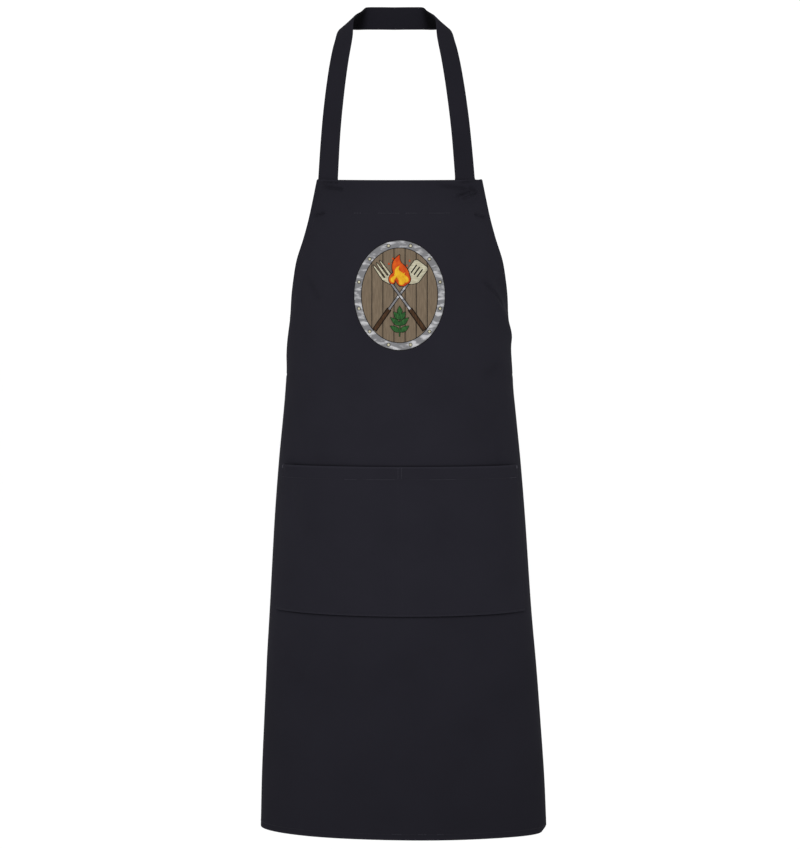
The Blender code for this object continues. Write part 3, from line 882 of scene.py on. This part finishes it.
def sewn_half(side, steps):
    """The same for the strap's end behind the bib, from its lower end up."""
    outer = BIB_WIDTH / 2 - STRAP_INSETS[side]
    drop = np.linspace(STRAP_SEWN, 0, steps)
    creased = relief(side * np.linspace(outer - STRAP_WIDTH, outer, 15), drop[:, None]).min(axis=1)
    behind = STRAP_BEHIND - np.minimum(creased, 0) * np.clip(drop / 0.008, 0, 1)
    first = worn(side * outer, drop, -behind, False)
    last = worn(side * (outer - STRAP_WIDTH), drop, -behind, False)
    return (first + last) / 2, (first - last) / 2


def band(name, centre, wide, thick, material, inner_shade=None):
    """A sewn band: a flat closed tube along a line, with a groove for the row along each edge."""
    way = unit(np.gradient(centre, axis=0))
    half = np.linalg.norm(wide, axis=1, keepdims=True)
    level = wide / half
    out = unit(np.cross(level, way))
    across = np.concatenate([np.linspace(-1, -0.8, 5), np.linspace(-0.7, 0.7, 9), np.linspace(0.8, 1, 5)])
    plump = np.sqrt(np.maximum(0, 1 - np.abs(across) ** 14)) * 0.5 * thick
    seam_at = 1 - 0.0022 / float(half.mean())
    run = run_along(centre)
    around = np.concatenate([across, across[-2:0:-1]])
    face = np.concatenate([np.ones(len(across)), -np.ones(len(across) - 2)])
    height = np.concatenate([plump, plump[-2:0:-1]])
    points = []
    for i in range(len(centre)):
        lift = height.copy()
        for at in (-seam_at, seam_at):
            lift -= 0.00022 * bell((around - at) * half[i], 0.0009) * (height > 0)
        ripple = wavering(run[i], 0.0125, len(name)) * 0.00018
        lift += ripple * bell((1 - np.abs(around)) * half[i], 0.005) * (height > 0)
        points.append(centre[i] + np.outer(around, wide[i]) + np.outer(face * lift, out[i]))
    points = np.array(points)[::-1]
    points = np.concatenate([points, points[:, :1]], axis=1)
    girth = run_along(points[len(points) // 2])
    flat = np.stack(np.broadcast_arrays(girth[None, :], -run[:, None]), axis=-1)
    wear = np.abs(np.concatenate([around, around[:1]])) ** 40
    # Painted shade, where it is given, goes on the band's inner face only.
    shade = None
    if inner_shade is not None:
        inner_face = np.concatenate([face, face[:1]]) < 0
        shade = inner_shade[::-1, None] * inner_face
    piece = cloth_grid(name, points, flat, np.broadcast_to(wear, points.shape[:2]), shade)
    bpy.context.view_layer.objects.active = piece
    bpy.ops.object.mode_set(mode="EDIT")
    bpy.ops.mesh.select_all(action="SELECT")
    bpy.ops.mesh.remove_doubles(threshold=0.00001)
    bpy.ops.mesh.select_all(action="DESELECT")
    bpy.ops.mesh.select_non_manifold()
    bpy.ops.mesh.edge_face_add()
    bpy.ops.mesh.select_all(action="SELECT")
    bpy.ops.mesh.normals_make_consistent(inside=False)
    bpy.ops.object.mode_set(mode="OBJECT")
    piece.data.materials.append(material)
    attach(piece, "root")
    rows = []
    for face_side in (-1, 1):
        for at in (-seam_at, seam_at):
            rows.append((centre + at * wide + face_side * (0.5 * thick - 0.0001) * out, face_side * out))
    return piece, rows, run[-1]


halves = {}
for side in (-1, 1):
    low_centre, low_wide = sewn_half(side, 14)
    free_centre, free_wide = strap_half(side, 90)
    halves[side] = (np.concatenate([low_centre, free_centre[1:]]), np.concatenate([low_wide, free_wide[1:]]))
strap_line = np.concatenate([halves[1][0], halves[-1][0][-2::-1]])
strap_wide = np.concatenate([halves[1][1], halves[-1][1][-2::-1]])
strap_twill = twill("strap_twill", SHADED_STRAP_NAVY, turn=27)
# Painted shade on the strap's inner face: a little all along, and near black where the strap turns over at
# each side of the neck.
from_middle = np.linspace(-1, 1, len(strap_line)) ** 2
painted_turn_shadow = 0.12 + 0.88 * np.exp(-(((np.sqrt(from_middle) - TURN_AT) / 0.045) ** 4))
neck_strap, strap_rows, strap_length = band(
    "neck_band", strap_line, strap_wide, STRAP_THICK, strap_twill, painted_turn_shadow
)
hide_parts("neck_strap")
stitch_rows("strap_stitches", strap_rows, navy_thread)

# The waist ties: bands of folded twill sewn inside the side corners. They go round the back, meet at a
# knot and hang down from it.
TIE_WIDTH = 0.025
TIE_THICK = 0.0017
TIE_SEWN = 0.022
TIE_BELOW_CORNER = 0.016
TIE_BEND = 0.018
TAIL_ASIDE = 0.015
TAIL_SPREAD = 0.016
TAIL_WAVE = 0.003
TAILS = {1: 0.490, -1: 0.450}
TIE_LEVEL = ARMHOLE_HEIGHT + TIE_BELOW_CORNER
tie_twill = twill("tie_twill", NAVY, turn=27)


def on_back(aside, drop, out):
    """Points round the back: aside is the way round from the middle of the back, + on the left."""
    across = half_round(drop) - np.abs(aside)
    return worn(np.copysign(across, aside), drop, out, False)


tie_rows = []
for side, name in ((1, "tie_left"), (-1, "tie_right")):
    out = -2 * HEM_RADIUS - 0.0004 - TIE_THICK / 2
    start = half_round(TIE_LEVEL) - BODY_WIDTH / 2 + TIE_SEWN
    bend_at = TAIL_ASIDE + TIE_BEND
    route = [(aside, TIE_LEVEL, 0) for aside in np.linspace(start, bend_at, 60)]
    for turn in np.radians(np.linspace(0, 90, 16)[1:]):
        route.append((bend_at - TIE_BEND * math.sin(turn), TIE_LEVEL + TIE_BEND * (1 - math.cos(turn)), turn))
    for share in np.linspace(0, 1, 90)[1:]:
        wave = TAIL_WAVE * math.sin(3 * math.pi * share + side)
        route.append(
            (TAIL_ASIDE + TAIL_SPREAD * share + wave, TIE_LEVEL + TIE_BEND + TAILS[side] * share, math.pi / 2)
        )
    route = np.array(route)
    aside, drop, turn = route.T
    half = TIE_WIDTH / 2
    first = on_back(side * (aside - half * np.sin(turn)), drop + half * np.cos(turn), out)
    last = on_back(side * (aside + half * np.sin(turn)), drop - half * np.cos(turn), out)
    centre, wide = (first + last) / 2, (first - last) / 2
    tie, rows, tie_length = band(name, centre, wide, TIE_THICK, tie_twill)
    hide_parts("waist_" + name)
    tie_rows += rows
stitch_rows("tie_stitches", tie_rows, navy_thread)

# The knot: the ties are crossed and pulled tight at the middle of the back, so that one band's wrap is
# pressed round the two creased ends of the other. It is the same folded twill as the ties.
KNOT_WRAP = (0.020, 0.0175, 0.034)
KNOT_END = (0.036, 0.0125, 0.029)
KNOT_END_ASIDE = 0.0160
KNOT_SKEW = 0.16
solid_knot = bpy.data.objects["tie_knot"]
knot_place = sum((solid_knot.matrix_world @ Vector(corner) for corner in solid_knot.bound_box), Vector()) / 8


def knot_part(size, aside, pleats, upright):
    """One pressed roll of the band: a soft squared ball, with pleats along its length."""
    deselect()
    bpy.ops.mesh.primitive_uv_sphere_add(segments=64, ring_count=40, radius=1)
    part = bpy.context.object
    mesh = part.data
    ball = np.zeros(len(mesh.vertices) * 3)
    mesh.vertices.foreach_get("co", ball)
    ball = ball.reshape(-1, 3)
    shape = np.sign(ball) * np.abs(ball) ** 0.8
    round_way = shape[:, 0] if upright else shape[:, 2]
    fade = np.sqrt(np.clip(1 - round_way**2, 0, 1))
    pleat = 1 + 0.13 * np.cos(pleats * math.pi * round_way + 0.8 * shape[:, 2]) * fade
    shape[:, 1] *= pleat
    if not upright:
        outwards = np.clip(np.sign(aside) * shape[:, 0], -1, 1)
        shape[:, 2] *= 0.70 + 0.30 * outwards
        shape[:, 1] *= 0.85 - 0.15 * outwards
    shape = shape * np.array(size) / 2
    shape[:, 0] += KNOT_SKEW * shape[:, 2]
    shape = shape + np.array(knot_place) + np.array([aside, 0, 0])
    mesh.vertices.foreach_set("co", shape.ravel())
    uv = mesh.uv_layers[0]
    uv.name = "flat"
    places = np.zeros(len(mesh.loops) * 2)
    uv.data.foreach_get("uv", places)
    uv.data.foreach_set("uv", (places.reshape(-1, 2) * (0.08, 0.05)).ravel())
    mesh.shade_smooth()
    return part


def join_parts(name, parts):
    """Several shapes in one piece."""
    deselect()
    for part in parts:
        part.select_set(True)
    bpy.context.view_layer.objects.active = parts[0]
    bpy.ops.object.join()
    piece = bpy.context.object
    piece.name = name
    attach(piece, "root")
    return piece


knot_parts = [
    knot_part(KNOT_WRAP, 0.0, 4, True),
    knot_part(KNOT_END, KNOT_END_ASIDE, 3, False),
    knot_part(KNOT_END, -KNOT_END_ASIDE, 3, False),
]
for part in knot_parts:
    part.data.materials.append(tie_twill)
tied_knot = join_parts("tied_knot", knot_parts)
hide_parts("tie_knot")

# The chest badge: ink printed on the twill, so thin that the weave shows through it. An oval grey rim with
# rivets round brown boards, and on them a crossed spatula and fork, a flame and a sprig.
BADGE_DROP = 0.158
BADGE_WIDE = 0.0628
BADGE_HIGH = 0.0748
RIM = 0.0095
RIVET = 0.0026
RIVET_HEAD = 0.0018
BLACK_LINE = 0.0009
INK = 0.00007
INK_STEP = 0.00008
INK_LIES = 0.00010


def ink(name, low, high, stretch, start=0.42, end=0.66):
    """Matte ink: strokes of two tones, and the ribs of the weave under it."""
    material, tree, shader = new_material(name, 0.8, 0.05)
    uv = node(tree, "UVMap", "UV", {}, uv_map="flat")
    drawn = {"Rotation": (0, 0, math.radians(8)), "Scale": (*stretch, 1), "Vector": uv}
    along_it = node(tree, "Mapping", "Vector", drawn)
    strokes = node(tree, "TexNoise", "Fac", {"Scale": 1, "Detail": 3, "Vector": along_it})
    sharp = node(tree, "MapRange", "Result", {"From Min": start, "From Max": end, "Value": strokes})
    tones = {"A": (*low, 1), "B": (*high, 1), "Factor": sharp}
    slant = node(tree, "Mapping", "Vector", {"Rotation": (0, 0, math.radians(RIB_TURN)), "Vector": uv})
    ribs = node(tree, "TexWave", "Fac", {"Scale": BAND_SCALE / RIB, "Distortion": 1.6, "Vector": slant})
    bump = node(tree, "Bump", "Normal", {"Strength": 0.3, "Distance": 0.0002, "Height": ribs})
    plug(tree, shader, {"Base Color": node(tree, "Mix", "Result", tones, data_type="RGBA"), "Normal": bump})
    return material


def printed(right, up, layer, material):
    """A patch of ink, from its grid of places in metres from the badge's middle."""
    right, up = np.broadcast_arrays(right, up)
    points = worn(right, BADGE_DROP - up, INK_LIES + INK + INK_STEP * layer)
    patch = cloth_grid("ink", points, np.stack([right, up], axis=-1), 0 * right)
    patch.data.materials.append(material)
    give_wall(patch, INK)
    bpy.ops.object.mode_set(mode="EDIT")
    bpy.ops.mesh.select_all(action="SELECT")
    bpy.ops.mesh.remove_doubles(threshold=0.000001)
    bpy.ops.mesh.normals_make_consistent(inside=False)
    bpy.ops.object.mode_set(mode="OBJECT")
    return patch


def disc(place, size, layer, material, steps=5):
    """An oval patch."""
    way = np.linspace(-1, 1, steps)
    right = way * np.sqrt(1 - way[:, None] ** 2 / 2)
    up = -way[:, None] * np.sqrt(1 - way**2 / 2)
    return printed(place[0] + size[0] * right, place[1] + size[1] * up, layer, material)


def hoop(outer, inner, layer, material):
    """An oval band, by how far its two edges lie inside the badge's."""
    angle = np.linspace(math.pi, -math.pi, 121)
    inset = np.linspace(outer, inner, 6)[:, None]
    right, up = (BADGE_WIDE - inset) * np.sin(-angle), (BADGE_HIGH - inset) * np.cos(angle)
    return printed(right, up, layer, material)


def stroke(line, half, layer, material, more=0.0):
    """A band along a line whose half width changes, made wider by more all round."""
    line = np.array(line, float)
    way = unit(np.gradient(line, axis=0))
    line[0] -= way[0] * more
    line[-1] += way[-1] * more
    aside = np.stack([way[:, 1], -way[:, 0]], axis=-1)
    half = np.maximum(np.broadcast_to(half, len(line)) + more, 0.00012)
    share = np.linspace(-1, 1, 5)
    places = line[:, None] + aside[:, None] * half[:, None, None] * share[None, :, None]
    return printed(places[::-1, :, 0], places[::-1, :, 1], layer, material)


def outlined(parts, line, half, layer, material, more=BLACK_LINE):
    """A stroke drawn in black first, a little wider, and then in its own ink."""
    black_parts.append(stroke(line, half, layer, black_ink, more))
    parts.append(stroke(line, half, layer + 1, material))


def along(start, end, count=12):
    """Evenly spaced places from one to another, and their shares of the way."""
    share = np.linspace(0, 1, count)
    return np.outer(1 - share, start) + np.outer(share, end), share


black_ink = ink("black_ink", (0.0035, 0.003, 0.003), (0.007, 0.006, 0.006), (300, 300))
board_ink = ink("board_ink", (0.106, 0.080, 0.055), (0.142, 0.108, 0.074), (900, 60))
steel_ink = ink("steel_ink", (0.135, 0.135, 0.142), (0.36, 0.36, 0.37), (60, 160), 0.5, 0.62)
cream_ink = ink("cream_ink", (0.30, 0.28, 0.20), (0.42, 0.40, 0.30), (140, 400))
wood_ink = ink("wood_ink", (0.030, 0.016, 0.009), (0.058, 0.030, 0.015), (700, 90))
orange_ink = ink("orange_ink", (0.36, 0.040, 0.008), (0.46, 0.080, 0.010), (160, 90))
yellow_ink = ink("yellow_ink", (0.47, 0.24, 0.012), (0.56, 0.34, 0.020), (160, 90))
green_ink = ink("green_ink", (0.014, 0.052, 0.016), (0.028, 0.095, 0.026), (500, 200))

black_parts = [disc((0, 0), (BADGE_WIDE + BLACK_LINE, BADGE_HIGH + BLACK_LINE), 0, black_ink, 37)]
board_parts, steel_parts, cream_parts, wood_parts = [], [], [], []
orange_parts, yellow_parts, green_parts = [], [], []

BOARDS = 7
inside = (BADGE_WIDE - 0.5 * RIM, BADGE_HIGH - 0.5 * RIM)
board_wide = 2 * (BADGE_WIDE - RIM) / BOARDS
for k in range(BOARDS):
    right = -(BADGE_WIDE - RIM) + board_wide * (k + np.linspace(0.03, 0.97, 7))
    high = inside[1] * np.sqrt(1 - (right / inside[0]) ** 2)
    board_parts.append(printed(right, np.linspace(1, -1, 33)[:, None] * high, 1, board_ink))

black_parts.append(hoop(RIM - 0.0005, RIM + BLACK_LINE, 2, black_ink))
steel_parts.append(hoop(0.0, RIM, 3, steel_ink))
for angle in np.radians(np.arange(15, 360, 30)):
    middle = (BADGE_WIDE - RIM / 2) * math.sin(angle), (BADGE_HIGH - RIM / 2) * math.cos(angle)
    black_parts.append(disc(middle, (RIVET, RIVET), 4, black_ink))
    cream_parts.append(disc(middle, (RIVET_HEAD, RIVET_HEAD), 5, cream_ink))

# The tools' places: the handle's foot and its end, the rod's end, and the tip.
TOOL_PLACES = ((-0.034, -0.047), (-0.0145, -0.0195), (0.0115, 0.0165), (0.031, 0.0435))
HANDLE = 0.0026
ROD = 0.0013
SLOT = 0.0009
for side, layer in ((1, 4), (-1, 6)):
    foot, grip, neck, tip = np.array(TOOL_PLACES) * (side, 1)
    handle, share = along(foot, grip)
    black_parts.append(stroke(handle, HANDLE, layer, black_ink, BLACK_LINE))
    wood_parts.append(stroke(handle, HANDLE - 0.0004 * share, layer + 1, wood_ink))
    rod, _ = along(grip, neck)
    outlined(steel_parts, rod, ROD, layer, steel_ink)
    way = (tip - neck) / np.linalg.norm(tip - neck)
    aside = np.array([way[1], -way[0]])
    if side == 1:
        blade, share = along(neck, tip, 24)
        half = ROD + 0.0098 * np.clip(share / 0.30, 0, 1) ** 0.6
        half = half - 0.003 * np.clip((share - 0.93) / 0.07, 0, 1)
        outlined(cream_parts, blade, half, layer, cream_ink)
        for shift in (-0.005, 0.0, 0.005):
            slot_line, _ = along(neck + way * 0.014 + aside * shift, tip - way * 0.006 + aside * shift, 6)
            black_parts.append(stroke(slot_line, SLOT, layer + 2, black_ink))
    else:
        crown, share = along(neck, neck + way * 0.011, 10)
        outlined(cream_parts, crown, ROD + 0.0056 * share**0.7, layer, cream_ink)
        for shift in (-0.0054, 0.0, 0.0054):
            root = neck + way * 0.010 + aside * shift
            tine, share = along(root, root + way * 0.024, 10)
            outlined(cream_parts, tine, 0.0014 * np.sqrt(1 - share**2), layer, cream_ink)

share = np.linspace(0, 1, 25)
for aside, low, high, wide, lean in (
    (0.0, 0.013, 0.055, 0.0270, 0.0035),
    (-0.0078, 0.016, 0.036, 0.0130, -0.0020),
    (0.0078, 0.016, 0.038, 0.0130, 0.0022),
):
    line = np.stack([aside + lean * np.sin(2 * math.pi * share), low + (high - low) * share], axis=-1)
    half = wide * np.sqrt(share) * (1 - share)
    outlined(orange_parts, line, half, 8, orange_ink)
    heart = line * (1, 0.62) + (0, 0.38 * low + 0.0016)
    yellow_parts.append(stroke(heart, 0.52 * half, 10, yellow_ink))
for spark in ((-0.0145, 0.043), (0.0135, 0.047), (-0.009, 0.050), (0.010, 0.0405)):
    orange_parts.append(disc(spark, (0.0011, 0.0015), 9, orange_ink, 4))

STALK = 0.0006
stalk, _ = along((0.0, -0.056), (0.001, -0.026))
black_parts.append(stroke(stalk, STALK, 8, black_ink, 0.0004))
green_parts.append(stroke(stalk, STALK, 10, green_ink))
for base, turn, length in (
    (-0.050, 58, 0.015),
    (-0.050, -58, 0.015),
    (-0.041, 50, 0.016),
    (-0.041, -50, 0.016),
    (-0.033, 38, 0.013),
    (-0.033, -38, 0.013),
    (-0.027, 0, 0.012),
):
    turn = math.radians(turn)
    leaf, share = along((0.0005, base), (math.sin(turn) * length, base + math.cos(turn) * length))
    outlined(green_parts, leaf, 0.0034 * np.sin(math.pi * share**0.8), 8, green_ink, 0.0005)

badge = join_parts("badge_black", black_parts)
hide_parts("chest_print")
for name, parts in (
    ("badge_boards", board_parts),
    ("badge_steel", steel_parts),
    ("badge_cream", cream_parts),
    ("badge_wood", wood_parts),
    ("badge_orange", orange_parts),
    ("badge_yellow", yellow_parts),
    ("badge_green", green_parts),
):
    join_parts(name, parts)

# The studio: a pale floor and soft light from all round, with a large soft key from the upper left.
FLOOR_LEVEL = -1.62
ROOM_LIGHT = 1.04
KEY_PLACE = (-0.25, -2.7, 0.55)
KEY_AIM = (0, -0.1, -0.5)
KEY_SIZE = 1.2
KEY_POWER = 36
deselect()
bpy.ops.mesh.primitive_plane_add(size=160, location=(0, 40, FLOOR_LEVEL))
floor = bpy.context.object
floor.name = "studio_floor"
pale, pale_tree, pale_shader = new_material("pale_floor", 0.9, 0.5)
plug(pale_tree, pale_shader, {"Base Color": (0.97, 0.97, 0.97, 1)})
floor.data.materials.append(pale)

world = bpy.data.worlds.new("studio_light")
world.use_nodes = True
room = world.node_tree
plug(room, room.nodes["Background"], {"Color": (1, 1, 1, 1), "Strength": ROOM_LIGHT})
bpy.context.scene.world = world
bpy.context.scene.view_settings.view_transform = "Standard"

bpy.ops.object.light_add(type="AREA", location=KEY_PLACE)
key_light = bpy.context.object
key_light.name = "key_light"
key_light.data.size = KEY_SIZE
key_light.data.energy = KEY_POWER
key_light.rotation_euler = (Vector(KEY_AIM) - Vector(KEY_PLACE)).to_track_quat("-Z", "Y").to_euler()
